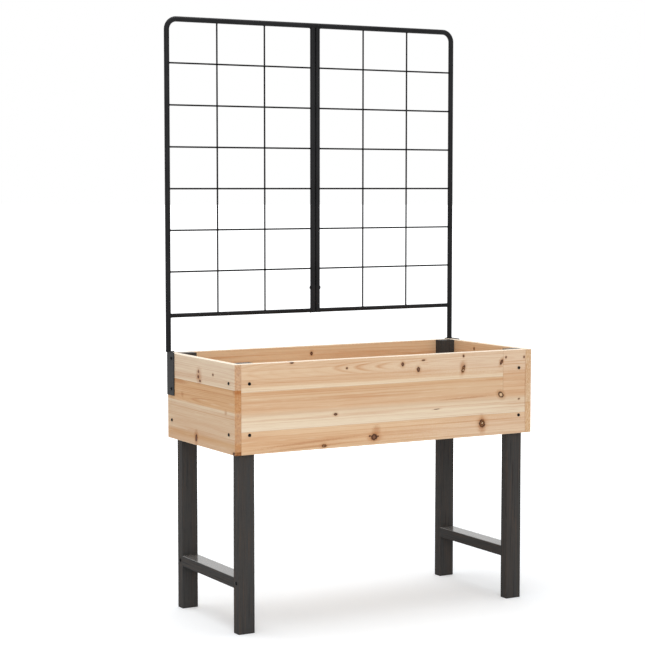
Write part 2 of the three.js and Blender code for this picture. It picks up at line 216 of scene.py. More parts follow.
def fir(
    name,
    order,
    span,
    strips,
    tones,
    knots,
    ringed=(),
    stains=(),
    figure=None,
    paler=(),
    butt=None,
    end_tones=oiled_ends,
    seed=1.0,
    contrast=1.0,
    oiled=True,
):
    """White fir: pale early wood and thin orange late wood in each growth ring, stained streaks,
    knots, glue lines, and darker end grain. span is the panel's (lowest, highest) place across
    the grain. strips are the glued pieces from low to high: (upper edge, (pith along, across,
    through), (lean, squeeze), ring), where the distance from the pith is the length of ((along -
    pith) * lean, (across - pith) * squeeze, through - pith). tones are the colours across the
    panel. knots, ringed knots, stains, paler patches and the figure, where the rings show most,
    are (along, across, half length, half width, turn). butt is (along, from level, tone), an end
    joint in the upper strips with a piece of that tone past it. end_tones are the dark, middle
    and pale colours of the end grain. contrast scales how plainly the rings show."""
    glue_half, joint_half, joint_share = 0.00035, 0.0004, 1.8
    strip_shift, past_joint = (0.83, 0, 0), 7.0
    material = bpy.data.materials.new(name)
    tree = blank_tree(material)
    space = grain_space(tree, order)
    split = node(tree, "SeparateXYZ", [space])
    along, across = split.outputs[0], split.outputs[1]

    # Each strip has its own rings, and its noise starts elsewhere.
    number, glue = 0.0, 0.0
    for upper, *_ in strips[:-1]:
        step = node(tree, "Math", [across, upper], operation="GREATER_THAN")
        number = node(tree, "Math", [step, number], operation="ADD")
        line = node(tree, "Math", [across, upper, glue_half], operation="COMPARE")
        glue = node(tree, "Math", [line, glue], operation="MAXIMUM")
    if butt:
        above = node(tree, "Math", [across, butt[1]], operation="GREATER_THAN")
        past = node(tree, "Math", [along, butt[0]], operation="GREATER_THAN")
        past = node(tree, "Math", [past, above], operation="MULTIPLY")
        number = node(tree, "Math", [past, past_joint, number], operation="MULTIPLY_ADD")
        joint = node(tree, "Math", [along, butt[0], joint_half], operation="COMPARE")
        joint = node(tree, "Math", [joint, above], operation="MULTIPLY")
        joint = node(tree, "Math", [joint, joint_share], operation="MULTIPLY")
        glue = node(tree, "Math", [joint, glue], operation="MAXIMUM")
    moved = node(tree, "CombineXYZ", [number])
    inputs = [moved, strip_shift, space]
    own_space = node(tree, "VectorMath", inputs, operation="MULTIPLY_ADD")

    knot_distance, parting = knot_field(tree, space, across, knots)
    if ringed:
        ring_distance, parting_too = knot_field(tree, space, across, ringed)
        parting = node(tree, "Math", [parting, parting_too], operation="ADD")
    sway = grain_noise(tree, own_space, 0.22, 0.035, seed + 3, detail=2.0)
    sway = node(tree, "Math", [sway, 0.011, parting], operation="MULTIPLY_ADD")
    sway = node(tree, "CombineXYZ", {1: sway})
    swayed = node(tree, "VectorMath", [space, sway], operation="ADD")
    rings = None
    for index, (upper, pith, (lean, squeeze), ring) in enumerate(strips):
        scale = (lean / ring, squeeze / ring, 1 / ring)
        moved = tuple(-p * s for p, s in zip(pith, scale))
        inputs = [swayed, scale, moved]
        own = node(tree, "VectorMath", inputs, operation="MULTIPLY_ADD")
        own = node(tree, "VectorMath", [own], operation="LENGTH").outputs["Value"]
        if rings is None:
            rings = own
        else:
            here = strips[index - 1][0]
            step = node(tree, "Math", [across, here], operation="GREATER_THAN")
            rings = node(tree, "Mix", {"Factor": step, "A": rings, "B": own})
    share = node(tree, "Math", [rings], operation="FRACT")
    late_stops = [(0.0, 0.45), (0.10, 0.0), (0.55, 0.12), (0.88, 1.0), (1.0, 0.45)]
    late = node(tree, "ValToRGB", [share], late_stops)

    # Base colour: the tones across the panel, which wander a little along the grain. Paler patches
    # are sapwood.
    low, high = span
    wander = grain_noise(tree, own_space, 0.35, 0.03, seed)
    drift = node(tree, "Math", [wander, 0.005, across], operation="MULTIPLY_ADD")
    drift = node(tree, "MapRange", [drift, low, high, 0.0, 1.0])
    stops = [((level - low) / (high - low), tone) for level, tone in tones]
    base = node(tree, "ValToRGB", [drift], stops)
    if butt:
        base = node(tree, "MixRGB", [past, base, butt[2]])
    if paler:
        bleached, _ = knot_field(tree, space, across, paler)
        bleached = node(tree, "MapRange", [bleached, 0.3, 1.0, 0.30, 0.0], **eased)
        base = node(tree, "MixRGB", [bleached, base, "#f0e3cf"])

    # Late wood, broad stains, long lines and fibre, each a share of the late wood's colour. Each
    # layer is (length, width, detail, shift, from low, from high, to low, to high).
    uneven = grain_noise(tree, own_space, 0.35, 0.018, seed + 7, detail=2.0)
    inputs = [uneven, -0.16, 0.2, 0.05 * contrast, 0.36 * contrast]
    strength = node(tree, "MapRange", inputs, **eased)
    if figure:
        figure_distance, _ = knot_field(tree, space, across, [figure])
        bold = node(tree, "MapRange", [figure_distance, 0.3, 1.2, 0.42, 0.0], **eased)
        strength = node(tree, "Math", [strength, bold], operation="ADD")
    total = node(tree, "Math", [late, strength], operation="MULTIPLY")
    layers = [
        (0.45, 0.022, 2.0, 11, -0.04, 0.22, 0.0, 0.20),
        (0.90, 0.0050, 1.0, 17, 0.04, 0.22, 0.0, 0.20),
        (0.70, 0.0022, 1.0, 19, 0.02, 0.22, 0.0, 0.24),
        (0.035, 0.0011, 3.0, 23, -0.2, 0.2, -0.05, 0.06),
    ]
    for length, width, detail, shift, *limits in layers:
        fibre = grain_noise(tree, own_space, length, width, seed + shift, detail)
        fibre = node(tree, "MapRange", [fibre, *limits], **eased)
        total = node(tree, "Math", [total, fibre], operation="ADD", use_clamp=True)
    grained = node(tree, "MixRGB", [total, base, "#b9743c"])

    # Pale flecks where the plane has lifted the early wood, and orange stains of resin.
    fleck = grain_noise(tree, own_space, 0.09, 0.006, seed + 31, detail=3.0)
    fleck = node(tree, "MapRange", [fleck, 0.05, 0.25, 0.0, 0.30], **eased)
    grained = node(tree, "MixRGB", [fleck, grained, "#ecd9ba"])
    if stains:
        stained, _ = knot_field(tree, space, across, stains)
        stained = node(tree, "MapRange", [stained, 0.2, 1.0, 0.42, 0.0], **eased)
        grained = node(tree, "MixRGB", [stained, grained, "#a8632f"])

    # Knots: a brown heart in a dark rim of resin, stained wood round it. The ramps run from a
    # knot's middle to three times its radii.
    scaled = node(tree, "Math", [knot_distance, 1 / 3], operation="MULTIPLY")
    hearts = [
        (0.0, "#583727"),
        (0.09, "#7e553e"),
        (0.18, "#5f3a28"),
        (0.27, "#371f15"),
        (0.34, "#331c12"),
        (0.40, "#90562f"),
        (0.60, "#b5763f"),
    ]
    heart = node(tree, "ValToRGB", [scaled], hearts)
    covers = [(0.0, 0.95), (0.34, 0.95), (0.41, 0.50), (0.60, 0.20), (1.0, 0.0)]
    cover = node(tree, "ValToRGB", [scaled], covers)
    knotted = node(tree, "MixRGB", [cover, grained, heart])
    if ringed:
        scaled = node(tree, "Math", [ring_distance, 1 / 3], operation="MULTIPLY")
        pale_heart = [
            (0.0, "#e0c09a"),
            (0.16, "#d8b288"),
            (0.23, "#3f2416"),
            (0.34, "#3f2416"),
            (0.42, "#a8703f"),
        ]
        heart = node(tree, "ValToRGB", [scaled], pale_heart)
        covers = [(0.0, 0.9), (0.35, 0.9), (0.44, 0.4), (0.8, 0.0)]
        cover = node(tree, "ValToRGB", [scaled], covers)
        knotted = node(tree, "MixRGB", [cover, knotted, heart])

    # Glue lines and the end joint are hairlines, drawn 0.7 mm wide so that they show.
    glue_share = 0.28
    glue = node(tree, "Math", [glue, glue_share], operation="MULTIPLY")
    knotted = node(tree, "MixRGB", [glue, knotted, "#8a5a38"])

    # End grain drinks more oil: darker, mottled, its rings plain to see.
    mottle = grain_noise(tree, space, 0.006, 0.006, seed + 29)
    mottle = node(tree, "Math", [mottle, 0.5], operation="ADD")
    ends = node(tree, "ValToRGB", [mottle], list(zip((0.32, 0.5, 0.7), end_tones)))
    late_share = node(tree, "Math", [late, 0.35], operation="MULTIPLY")
    ends = node(tree, "MixRGB", [late_share, ends, "#9c5f30"])
    ends = node(tree, "MixRGB", [0.45, ends, knotted])
    if stains:
        ends = node(tree, "MixRGB", [stained, ends, "#a45a22"])
    facing = node(tree, "SeparateXYZ", [node(tree, "TexCoord").outputs["Normal"]])
    at_end = node(tree, "Math", [facing.outputs[order[0]]], operation="ABSOLUTE")
    at_end = node(tree, "Math", [at_end, facing_limit], operation="GREATER_THAN")
    colour = node(tree, "MixRGB", [at_end, knotted, ends])
    if oiled:  # the top faces are painted paler: a painted highlight of the light from above
        up = node(tree, "Math", [facing.outputs["Z"], facing_limit], operation="GREATER_THAN")
        up = node(tree, "Math", [up, 0.7], operation="MULTIPLY")
        colour = node(tree, "MixRGB", [up, colour, "#f6ecdc"])

    height = node(tree, "Math", [fibre, 4.0], operation="MULTIPLY")
    height = node(tree, "Math", [height, late], operation="ADD")
    height = node(tree, "Math", [height, glue], operation="SUBTRACT")
    inputs = {"Height": height, "Strength": 0.3, "Distance": 0.0002}
    bump = node(tree, "Bump", inputs)
    roughness = node(tree, "MapRange", [late, 0.0, 1.0, 0.66, 0.52], **eased) if oiled else 0.75
    inputs = {"Base Color": colour, "Roughness": roughness, "Normal": bump}
    surface = node(tree, "BsdfPrincipled", inputs | {"Specular IOR Level": 0.12})
    node(tree, "OutputMaterial", {"Surface": surface})
    return material


def dress(material, slot, *names):
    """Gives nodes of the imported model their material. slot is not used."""
    for name in names:
        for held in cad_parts[name].material_slots:
            held.material = material


panel_span = (0.406, 0.608)
front_strips = [
    (0.457, (0.1, 0.52, 0.06), (0.02, 1.2), 0.0075),
    (0.5455, (0.2, 0.62, 0.05), (0.02, 1.0), 0.0065),
    (0.608, (0.217, 0.587, -0.167), (0.0886, 1.4), 0.0048),
]
front_tones = [
    (0.406, "#dfbd98"),
    (0.420, "#deb891"),
    (0.4560, "#e3c19c"),
    (0.4575, "#ead7bc"),
    (0.484, "#e8d3b6"),
    (0.492, "#ddc2a3"),
    (0.500, "#dab591"),
    (0.530, "#dbb995"),
    (0.5445, "#d8b28b"),
    (0.5460, "#ead5b8"),
    (0.5525, "#e8d0b0"),
    (0.5560, "#dbb996"),
    (0.608, "#e2c5a4"),
]
front_knots = [
    (-0.042, 0.424, 0.0070, 0.0065, 0.0),
    (-0.053, 0.427, 0.0026, 0.0018, 0.0),
    (-0.032, 0.425, 0.0024, 0.0020, 0.0),
    (0.258, 0.436, 0.0075, 0.0085, 0.3),
    (0.2035, 0.569, 0.0038, 0.0085, -0.35),
    (0.078, 0.574, 0.0038, 0.0050, 0.0),
    (0.035, 0.588, 0.0032, 0.0042, 0.0),
    (-0.144, 0.483, 0.0040, 0.0026, 0.0),
    (-0.174, 0.413, 0.0052, 0.0030, 0.0),
    (0.313, 0.580, 0.0030, 0.0060, -0.5),
    (0.204, 0.600, 0.0022, 0.0028, 0.0),
    (-0.1145, 0.5865, 0.0022, 0.0020, 0.0),
    (-0.257, 0.606, 0.0040, 0.0022, 0.0),
    (0.326, 0.591, 0.0020, 0.0025, 0.0),
    (0.379, 0.5895, 0.0020, 0.0025, 0.0),
    (0.092, 0.595, 0.0040, 0.0016, 0.1),
    (0.3645, 0.489, 0.0024, 0.0015, 0.3),
    (0.129, 0.478, 0.0070, 0.0007, 0.05),
]
front_fir = fir(
    "edge_glued_fir_front",
    lengthwise,
    panel_span,
    front_strips,
    front_tones,
    front_knots,
    ringed=[
        (0.312, 0.502, 0.0078, 0.0056, -0.6),
        (0.259, 0.437, 0.0046, 0.0030, 0.9),
        (0.203, 0.566, 0.0022, 0.0046, -0.35),
        (-0.175, 0.4125, 0.0028, 0.0014, 0.0),
    ],
    stains=[
        (0.257, 0.428, 0.014, 0.026, 0.15),
        (0.257, 0.440, 0.010, 0.024, 0.0),
        (-0.036, 0.438, 0.016, 0.019, -0.3),
        (-0.040, 0.422, 0.030, 0.011, 0.0),
        (0.200, 0.578, 0.010, 0.016, -0.2),
        (0.313, 0.582, 0.010, 0.012, -0.5),
        (-0.215, 0.4235, 0.180, 0.0042, 0.048),
        (-0.190, 0.4245, 0.190, 0.0014, 0.050),
        (-0.215, 0.4140, 0.160, 0.0012, 0.030),
        (-0.210, 0.4130, 0.170, 0.0034, 0.030),
        (-0.174, 0.4140, 0.012, 0.0070, 0.0),
        (0.210, 0.5000, 0.110, 0.0030, 0.020),
        (0.3835, 0.5070, 0.003, 0.1400, 0.0),
    ],
    figure=(-0.085, 0.587, 0.100, 0.017, 0.0),
    paler=[(0.36, 0.585, 0.50, 0.040, 0.0), (0.40, 0.425, 0.52, 0.038, 0.0)],
    butt=(0.318, 0.506, "#ddb995"),
    contrast=0.75,
)
dress(front_fir, "fir", "front_panel")

rear_strips = [
    (0.473, (0.1, 0.50, 0.28), (0.02, 1.1), 0.0065),
    (0.541, (-0.2, 0.51, 0.10), (0.08, 2.0), 0.0050),
    (0.608, (0.2, 0.66, 0.12), (0.02, 1.0), 0.0070),
]
rear_tones = [
    (0.406, "#dfbd95"),
    (0.4725, "#dab38a"),
    (0.4735, "#e6d0b0"),
    (0.510, "#dfc3a0"),
    (0.5405, "#d9b48d"),
    (0.5415, "#dcb892"),
    (0.608, "#e0c29e"),
]
rear_knots = [
    (-0.231, 0.450, 0.0080, 0.0070, 0.0),
    (0.117, 0.552, 0.0050, 0.0065, 0.2),
    (0.300, 0.431, 0.0040, 0.0030, 0.0),
    (-0.020, 0.589, 0.0030, 0.0040, 0.0),
    (-0.318, 0.571, 0.0050, 0.0045, 0.0),
    (0.021, 0.498, 0.0030, 0.0024, 0.0),
]
rear_fir = fir(
    "edge_glued_fir_rear", lengthwise, panel_span, rear_strips, rear_tones, rear_knots, seed=5.0
)
dress(rear_fir, "fir", "rear_panel")

left_strips = [
    (0.5505, (-0.12, 0.512, -0.39), (0.07, 1.5), 0.0052),
    (0.608, (-0.3, 0.62, -0.36), (0.03, 1.0), 0.0060),
]
left_tones = [
    (0.406, "#dcbc9c"),
    (0.428, "#d2aa80"),
    (0.436, "#dcbf9f"),
    (0.490, "#dcbf9f"),
    (0.498, "#e5cfb2"),
    (0.503, "#dab085"),
    (0.545, "#dab186"),
    (0.5500, "#c99a6c"),
    (0.5510, "#ecd8bd"),
    (0.556, "#e5ceb2"),
    (0.608, "#e7d1b6"),
]
left_knots = [
    (0.008, 0.5770, 0.0027, 0.0028, 0.0),
    (0.009, 0.5650, 0.0034, 0.0032, 0.0),
    (0.000, 0.5560, 0.0040, 0.0022, 0.0),
    (0.021, 0.423, 0.0044, 0.0074, 0.1),
    (-0.067, 0.576, 0.0028, 0.0024, 0.0),
    (-0.173, 0.4095, 0.0070, 0.0038, 0.0),
]
left_fir = fir(
    "edge_glued_fir_left",
    sideways,
    panel_span,
    left_strips,
    left_tones,
    left_knots,
    stains=[
        (0.006, 0.568, 0.022, 0.026, 0.0),
        (0.007, 0.566, 0.010, 0.018, 0.0),
        (0.021, 0.426, 0.016, 0.022, 0.0),
        (0.095, 0.516, 0.010, 0.009, 0.0),
        (-0.131, 0.497, 0.010, 0.008, 0.0),
        (0.110, 0.545, 0.060, 0.006, 0.0),
        (-0.172, 0.546, 0.010, 0.007, 0.0),
    ],
    figure=(0.02, 0.522, 0.150, 0.022, 0.0),
    seed=9.0,
    contrast=0.7,
)
dress(left_fir, "fir", "left_panel")

right_strips = [
    (0.480, (0.1, 0.47, 0.31), (0.02, 1.2), 0.0065),
    (0.548, (0.0, 0.53, 0.41), (0.08, 2.0), 0.0050),
    (0.608, (-0.2, 0.60, 0.50), (0.03, 1.0), 0.0060),
]
right_tones = [
    (0.406, "#ddba92"),
    (0.4795, "#dbb58c"),
    (0.4805, "#e4cdad"),
    (0.5475, "#dcb994"),
    (0.5485, "#d8b28c"),
    (0.608, "#dfc19c"),
]
right_knots = [
    (-0.060, 0.462, 0.0060, 0.0065, 0.0),
    (0.104, 0.563, 0.0040, 0.0050, 0.0),
    (0.045, 0.592, 0.0025, 0.0030, 0.0),
]
right_fir = fir(
    "edge_glued_fir_right",
    sideways,
    panel_span,
    right_strips,
    right_tones,
    right_knots,
    end_tones=("#cda276", "#dab58d", "#e6cba9"),
    seed=13.0,
)
dress(right_fir, "fir", "right_panel")

# ---------------------------------------------------------------- floor of the box
# Five fir boards laid across on two battens that are fixed inside the long panels, with gaps for
# water between them. Sawn, planed on one side and left bare.

crosswise = "YXZ"
board_width, drain_gap = 0.1451, 0.0105
# The boards part at the middles of the four gaps. The last figure is past the end board.
board_lines = [(i - 1.5) * (board_width + drain_gap) for i in range(4)] + [0.4]
board_strips = [
    (board_lines[0], (0.0, -0.33, 0.40), (0.02, 1.0), 0.0060),
    (board_lines[1], (0.1, -0.15, 0.37), (0.06, 1.0), 0.0055),
    (board_lines[2], (0.0, 0.07, 0.46), (0.08, 1.2), 0.0050),
    (board_lines[3], (-0.1, 0.10, 0.35), (0.02, 1.0), 0.0065),
    (board_lines[4], (0.2, 0.31, 0.47), (0.07, 1.1), 0.0055),
]
board_tones = [
    (-0.384, "#dcc09a"),
    (board_lines[0] - 0.001, "#dbbd97"),
    (board_lines[0] + 0.001, "#e2caa8"),
    (board_lines[1], "#dec4a0"),
    (board_lines[2], "#d8b78f"),
    (board_lines[3] - 0.001, "#e0c6a3"),
    (board_lines[3] + 0.001, "#dab993"),
    (0.384, "#dfc4a0"),
]
board_knots = [
    (-0.088, -0.290, 0.0070, 0.0065, 0.0),
    (0.054, -0.118, 0.0050, 0.0045, 0.0),
    (-0.021, 0.036, 0.0060, 0.0050, 0.0),
    (0.112, 0.190, 0.0035, 0.0030, 0.0),
    (-0.067, 0.337, 0.0080, 0.0070, 0.0),
]
board_fir = fir(
    "bare_fir_floor",
    crosswise,
    (-0.384, 0.384),
    board_strips,
    board_tones,
    board_knots,
    seed=17.0,
    oiled=False,
)
dress(board_fir, "fir", *(f"floor_board_{i + 1}" for i in range(5)))

batten_fir = fir(
    "bare_fir_batten",
    lengthwise,
    (0.410, 0.430),
    [(0.430, (0.2, 0.46, 0.03), (0.02, 1.0), 0.0055)],
    [(0.410, "#dabb94"), (0.430, "#dfc3a0")],
    [(0.13, 0.421, 0.0050, 0.0045, 0.0), (-0.22, 0.417, 0.0040, 0.0035, 0.0)],
    seed=21.0,
    oiled=False,
)
dress(batten_fir, "fir", "front_cleat", "rear_cleat")

# ---------------------------------------------------------------- legs and stretchers
# Fir legs and the stretchers tenoned into them, sprayed with satin charcoal paint that lets the
# grain show as thin brown and black streaks.

upright = "ZXY"


def charcoal_paint(name, order, seed, coated_top_and_painted_sheen=False):
    """Thin satin paint on fir: the fibres stand up through it, a little browner. The flag after
    seed gives the top faces a smooth coat and paints their colour paler: a painted reflection of
    the bright room."""
    material = bpy.data.materials.new(name)
    tree = blank_tree(material)
    space = grain_space(tree, order)
    broad = grain_noise(tree, space, 0.30, 0.010, seed)
    streak = grain_noise(tree, space, 0.12, 0.0028, seed + 3, detail=4.0)
    pore = grain_noise(tree, space, 0.03, 0.0008, seed + 5)
    colour = "#434241"
    tints = [
        (broad, -0.1, 0.2, 0.55, "#49423d"),
        (streak, 0.02, 0.24, 0.8, "#54473f"),
        (streak, -0.04, -0.24, 0.8, "#2e2d2d"),
        (pore, 0.08, 0.25, 0.6, "#242323"),
    ]
    for grain, low, high, most, tone in tints:
        share = node(tree, "MapRange", [grain, low, high, 0.0, most], **eased)
        colour = node(tree, "MixRGB", [share, colour, tone])
    height = node(tree, "Math", [streak, pore], operation="ADD")
    inputs = {"Height": height, "Strength": 0.2, "Distance": 0.0003}
    bump = node(tree, "Bump", inputs)
    roughness = node(tree, "MapRange", [streak, -0.2, 0.2, 0.20, 0.28], **eased)
    inputs = {"Roughness": roughness, "Normal": bump, "Specular IOR Level": 0.01}
    # Top faces: a smooth coat, and a colour painted paler as a painted reflection of the bright
    # room.
    if coated_top_and_painted_sheen:
        up = node(tree, "SeparateXYZ", [node(tree, "TexCoord").outputs["Normal"]]).outputs["Z"]
        up = node(tree, "Math", [up, facing_limit], operation="GREATER_THAN")
        paler = node(tree, "Math", [up, 0.8], operation="MULTIPLY")
        colour = node(tree, "MixRGB", [paler, colour, "#787776"])
        inputs |= {"Coat Weight": up, "Coat Roughness": 0.15}
    surface = node(tree, "BsdfPrincipled", inputs | {"Base Color": colour})
    node(tree, "OutputMaterial", {"Surface": surface})
    return material


sides = {"left": -1, "right": 1}
leg_paint = charcoal_paint("satin_charcoal_paint_leg", upright, 2.0)
# The stretchers' copy of the paint has its top faces painted paler, a painted reflection.
stretcher_paint = charcoal_paint("satin_charcoal_paint_stretcher", crosswise, 6.0, coated_top_and_painted_sheen=True)
for side in sides:
    dress(leg_paint, "painted_fir", f"{side}_front_leg", f"{side}_rear_leg")
    dress(stretcher_paint, "painted_fir", f"{side}_stretcher")

# ---------------------------------------------------------------- frame tubes
# Half-inch steel tube, 1.2 mm thick, bent once round a former: up the side of the trellis, round
# the corner and in to the middle of the top. Powder coated black with all that is welded to it.

tube_radius, tube_wall, tube_bend = 0.00635, 0.0012, 0.025
tube_x, tube_y = 0.397, 0.177
tube_foot, top_z, tube_end = 0.6104, 1.38865, 0.00015
burr = 0.0003  # the rounding on a sawn end
quarter, sharp_edge = math.pi / 2, math.radians(35)


def powder_coat(name, dark, dusty):
    """Polyester powder on steel: black, semi-gloss, with the low waves of orange peel about
    2 mm apart and a little dust."""
    material = bpy.data.materials.new(name)
    tree = blank_tree(material)
    place = node(tree, "TexCoord").outputs["Object"]
    peel = node(tree, "TexNoise", {"Vector": place, "Scale": 480.0, "Detail": 1.0})
    cloud = node(tree, "TexNoise", {"Vector": place, "Scale": 14.0, "Detail": 3.0})
    colour = node(tree, "MapRange", [cloud, 0.3, 0.7, 0.0, 1.0], **eased)
    colour = node(tree, "MixRGB", [colour, dark, dusty])
    roughness = node(tree, "MapRange", [cloud, 0.3, 0.7, 0.30, 0.40], **eased)
    bump = node(tree, "Bump", {"Height": peel, "Strength": 0.06, "Distance": 0.0003})
    inputs = {"Base Color": colour, "Roughness": roughness, "Normal": bump}
    surface = node(tree, "BsdfPrincipled", inputs | {"Specular IOR Level": 0.06})
    node(tree, "OutputMaterial", {"Surface": surface})
    return material


def piece(name, grids, material, slot, *stands_for, ring=False):
    """One piece made of grids of points, each [stations, points round, 3] and closed round. Every
    four neighbours make a face; with ring the last station joins the first, else a face closes
    each end. Faces are turned outwards where the sum of a . (b x c) over a grid is negative."""
    points, faces, start = [], [], 0
    for grid in grids:
        rows, count = grid.shape[:2]
        i, j = np.meshgrid(np.arange(rows if ring else rows - 1), np.arange(count), indexing="ij")
        after, beside = (i + 1) % rows, (j + 1) % count
        corners = (i * count + j, after * count + j, after * count + beside, i * count + beside)
        quads = np.stack(corners, -1).reshape(-1, 4)
        flat = grid.reshape(-1, 3)
        a, b, c, d = np.moveaxis((flat - flat.mean(0))[quads], 1, 0)
        volume = np.sum(a * (np.cross(b, c) + np.cross(c, d)))
        turn = -1 if volume < 0 else 1
        loop = np.arange(count)
        ends = [] if ring else [loop, (rows - 1) * count + loop[::-1]]
        faces += (quads[:, ::turn] + start).tolist()
        faces += [(end[::turn] + start).tolist() for end in ends]
        points.append(flat)
        start += len(flat)
    mesh = bpy.data.meshes.new(name)
    mesh.from_pydata(np.concatenate(points).tolist(), [], faces)
    welded = bmesh.new()
    welded.from_mesh(mesh)
    bmesh.ops.remove_doubles(welded, verts=welded.verts, dist=1e-6)
    welded.to_mesh(mesh)
    welded.free()
    mesh.shade_smooth()
    mesh.set_sharp_from_angle(angle=sharp_edge)
    mesh.materials.append(material)
    made = bpy.data.objects.new(name, mesh)
    bpy.context.scene.collection.objects.link(made)
    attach(made, "root")
    if stands_for:
        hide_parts(*stands_for)
    return made


def around(count):
    """Evenly spaced angles once round, as a row."""
    return np.linspace(0, 2 * math.pi, count, endpoint=False)[None, :]


def bent_tube(sign):
    """Centre line C and its normal N in the plane y = tube_y; the wall is the closed profile
    that runs out along the outer radius and back along the bore: C + r (cos a N + sin a Y)."""
    turn = np.linspace(0, quarter, 25)
    up = np.linspace(tube_foot, top_z - tube_bend, 9)[:-1]
    across = np.linspace(tube_x - tube_bend, tube_end, 7)[1:]
    corner_x, corner_z = tube_x - tube_bend, top_z - tube_bend
    x = np.concatenate([0 * up + tube_x, corner_x + tube_bend * np.cos(turn), across])
    z = np.concatenate([up, corner_z + tube_bend * np.sin(turn), 0 * across + top_z])
    turned = np.concatenate([0 * up, turn, 0 * across + quarter])
    order = np.concatenate([[0], np.arange(len(x)), [-1]])
    out = np.full(len(order), tube_radius)
    out[[0, -1]] -= burr
    slide = np.zeros(len(order))
    slide[[1, -2]] = burr, -burr
    bore = np.arange(len(x))[::-1]
    order = np.concatenate([order, bore])
    radius = np.concatenate([out, 0 * bore + tube_radius - tube_wall])[:, None]
    slide = np.concatenate([slide, 0.0 * bore])
    x, z, turned = x[order], z[order], turned[order]
    x, z = x - slide * np.sin(turned), z + slide * np.cos(turned)
    angle = around(40)
    reach, depth = radius * np.cos(angle), radius * np.sin(angle)
    px = x[:, None] + reach * np.cos(turned)[:, None]
    pz = z[:, None] + reach * np.sin(turned)[:, None]
    return np.stack([sign * px, tube_y + depth, pz], -1)


black_powder = powder_coat("black_powder_coat", "#202021", "#282829")
for side, sign in sides.items():
    name = f"{side}_frame_tube"
    piece(f"{name}_bent", [bent_tube(sign)], black_powder, "black_steel", name, ring=True)
dress(black_powder, "black_steel", "joining_pin")

# ---------------------------------------------------------------- posts and bottom rails
# Straight tubes between the frame tubes: a post beside the middle of each half, coped under the
# top tube, and a thinner rail at the bottom, coped to the post and to the frame tube.

post_x, post_foot = 0.0065, 0.689
rail_radius, rail_wall, rail_z = 0.005, 0.001, 0.694
cope_gap = 0.00004  # between a coped end and the tube it fits, so no faces coincide


def coped(radius, depth):
    """How far a round surface stands out at a depth from its middle: sqrt(r^2 - depth^2)."""
    return np.sqrt(np.clip((radius + cope_gap) ** 2 - depth**2, 0, None))


def straight(sign, level, centre, radius, first, last, wall=None, count=32):
    """A bar or tube along X (level) or Z, on a centre (x or z, y): r cos a and r sin a across it,
    and first(depth) to last(depth) along it. A bar's ends shrink to their middle; a tube's wall
    goes back along its bore."""
    if wall:
        shares, radii = [0, 0.3, 0.6, 1, 1, 0.6, 0.3, 0], [radius] * 4 + [radius - wall] * 4
    else:
        shares = [0, 0, 0, 0.25, 0.5, 0.75, 1, 1, 1]
        radii = [0, radius / 2, radius, radius, radius, radius, radius, radius / 2, 0]
    angle, r, share = around(count), np.array(radii)[:, None], np.array(shares)[:, None]
    beside, depth = centre[0] + r * np.cos(angle), centre[1] + r * np.sin(angle)
    start, end = first(depth - tube_y), last(depth - tube_y)
    run = start + share * (end - start)
    x, z = (run, beside) if level else (beside, run)
    return np.stack([sign * x, depth, z], -1)


def from_post(depth):
    return post_x + coped(tube_radius, depth)


def to_frame_tube(depth):
    return tube_x - coped(tube_radius, depth)


def to_top_tube(depth):
    return top_z - coped(tube_radius, depth)


def from_rail(depth):
    return rail_z + coped(rail_radius, depth)


def from_foot(depth):
    return post_foot + 0 * depth


for side, sign in sides.items():
    post = straight(
        sign, False, (post_x, tube_y), tube_radius, from_foot, to_top_tube, tube_wall, 40
    )
    name = f"{side}_centre_post"
    piece(f"{name}_tube", [post], black_powder, "black_steel", name, ring=True)
    rail = straight(
        sign, True, (rail_z, tube_y), rail_radius, from_post, to_frame_tube, rail_wall, 36
    )
    name = f"{side}_bottom_rail"
    piece(f"{name}_tube", [rail], black_powder, "black_steel", name, ring=True)

# ---------------------------------------------------------------- wires and welds
# Drawn steel wire, 4 mm: two upright and six level in each half, welded where they cross and
# where they meet the tubes. A small bead runs round each joint and a nugget fills each crossing.

wire_radius = 0.002
bead, post_bead, wire_bead = 0.0011, 0.0014, 0.0007
nugget = (0.0015, 0.0009, 0.0015)
weld_gap = 0.0003  # between the frame tube's foot and the bracket
thin_powder = powder_coat("black_powder_coat_on_wire", "#0b0b0c", "#121213")


def middle(name):
    """The middle of a node's box."""
    low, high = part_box(name)
    return (low + high) / 2


def weld_bead(sign, level, centre, radius, end, size, ripples):
    """A bead round a bar's end: a ring of cross-section size * (1 + 0.16 sin(ripples a)), centred
    on the line where the bar's surface, C + r (cos a, sin a), meets the other's, end(depth)."""
    a, b = around(48).T, around(10)
    thick = size * (1 + 0.16 * np.sin(ripples * a))
    reach = radius + thick * np.cos(b)
    beside, depth = centre[0] + reach * np.cos(a), centre[1] + reach * np.sin(a)
    run = end(centre[1] + radius * np.sin(a) - tube_y) + thick * np.sin(b)
    x, z = (run, beside) if level else (beside, run)
    return np.stack([sign * x, depth, z], -1)


def weld_nugget(place):
    """An ellipsoid of melted steel between two crossing wires."""
    rise, a = np.linspace(-quarter, quarter, 7)[:, None], around(10)
    ball = np.cos(rise) * np.cos(a), np.sin(rise) + 0 * a, np.cos(rise) * np.sin(a)
    return np.stack([p + r * part for p, r, part in zip(place, nugget, ball)], -1)


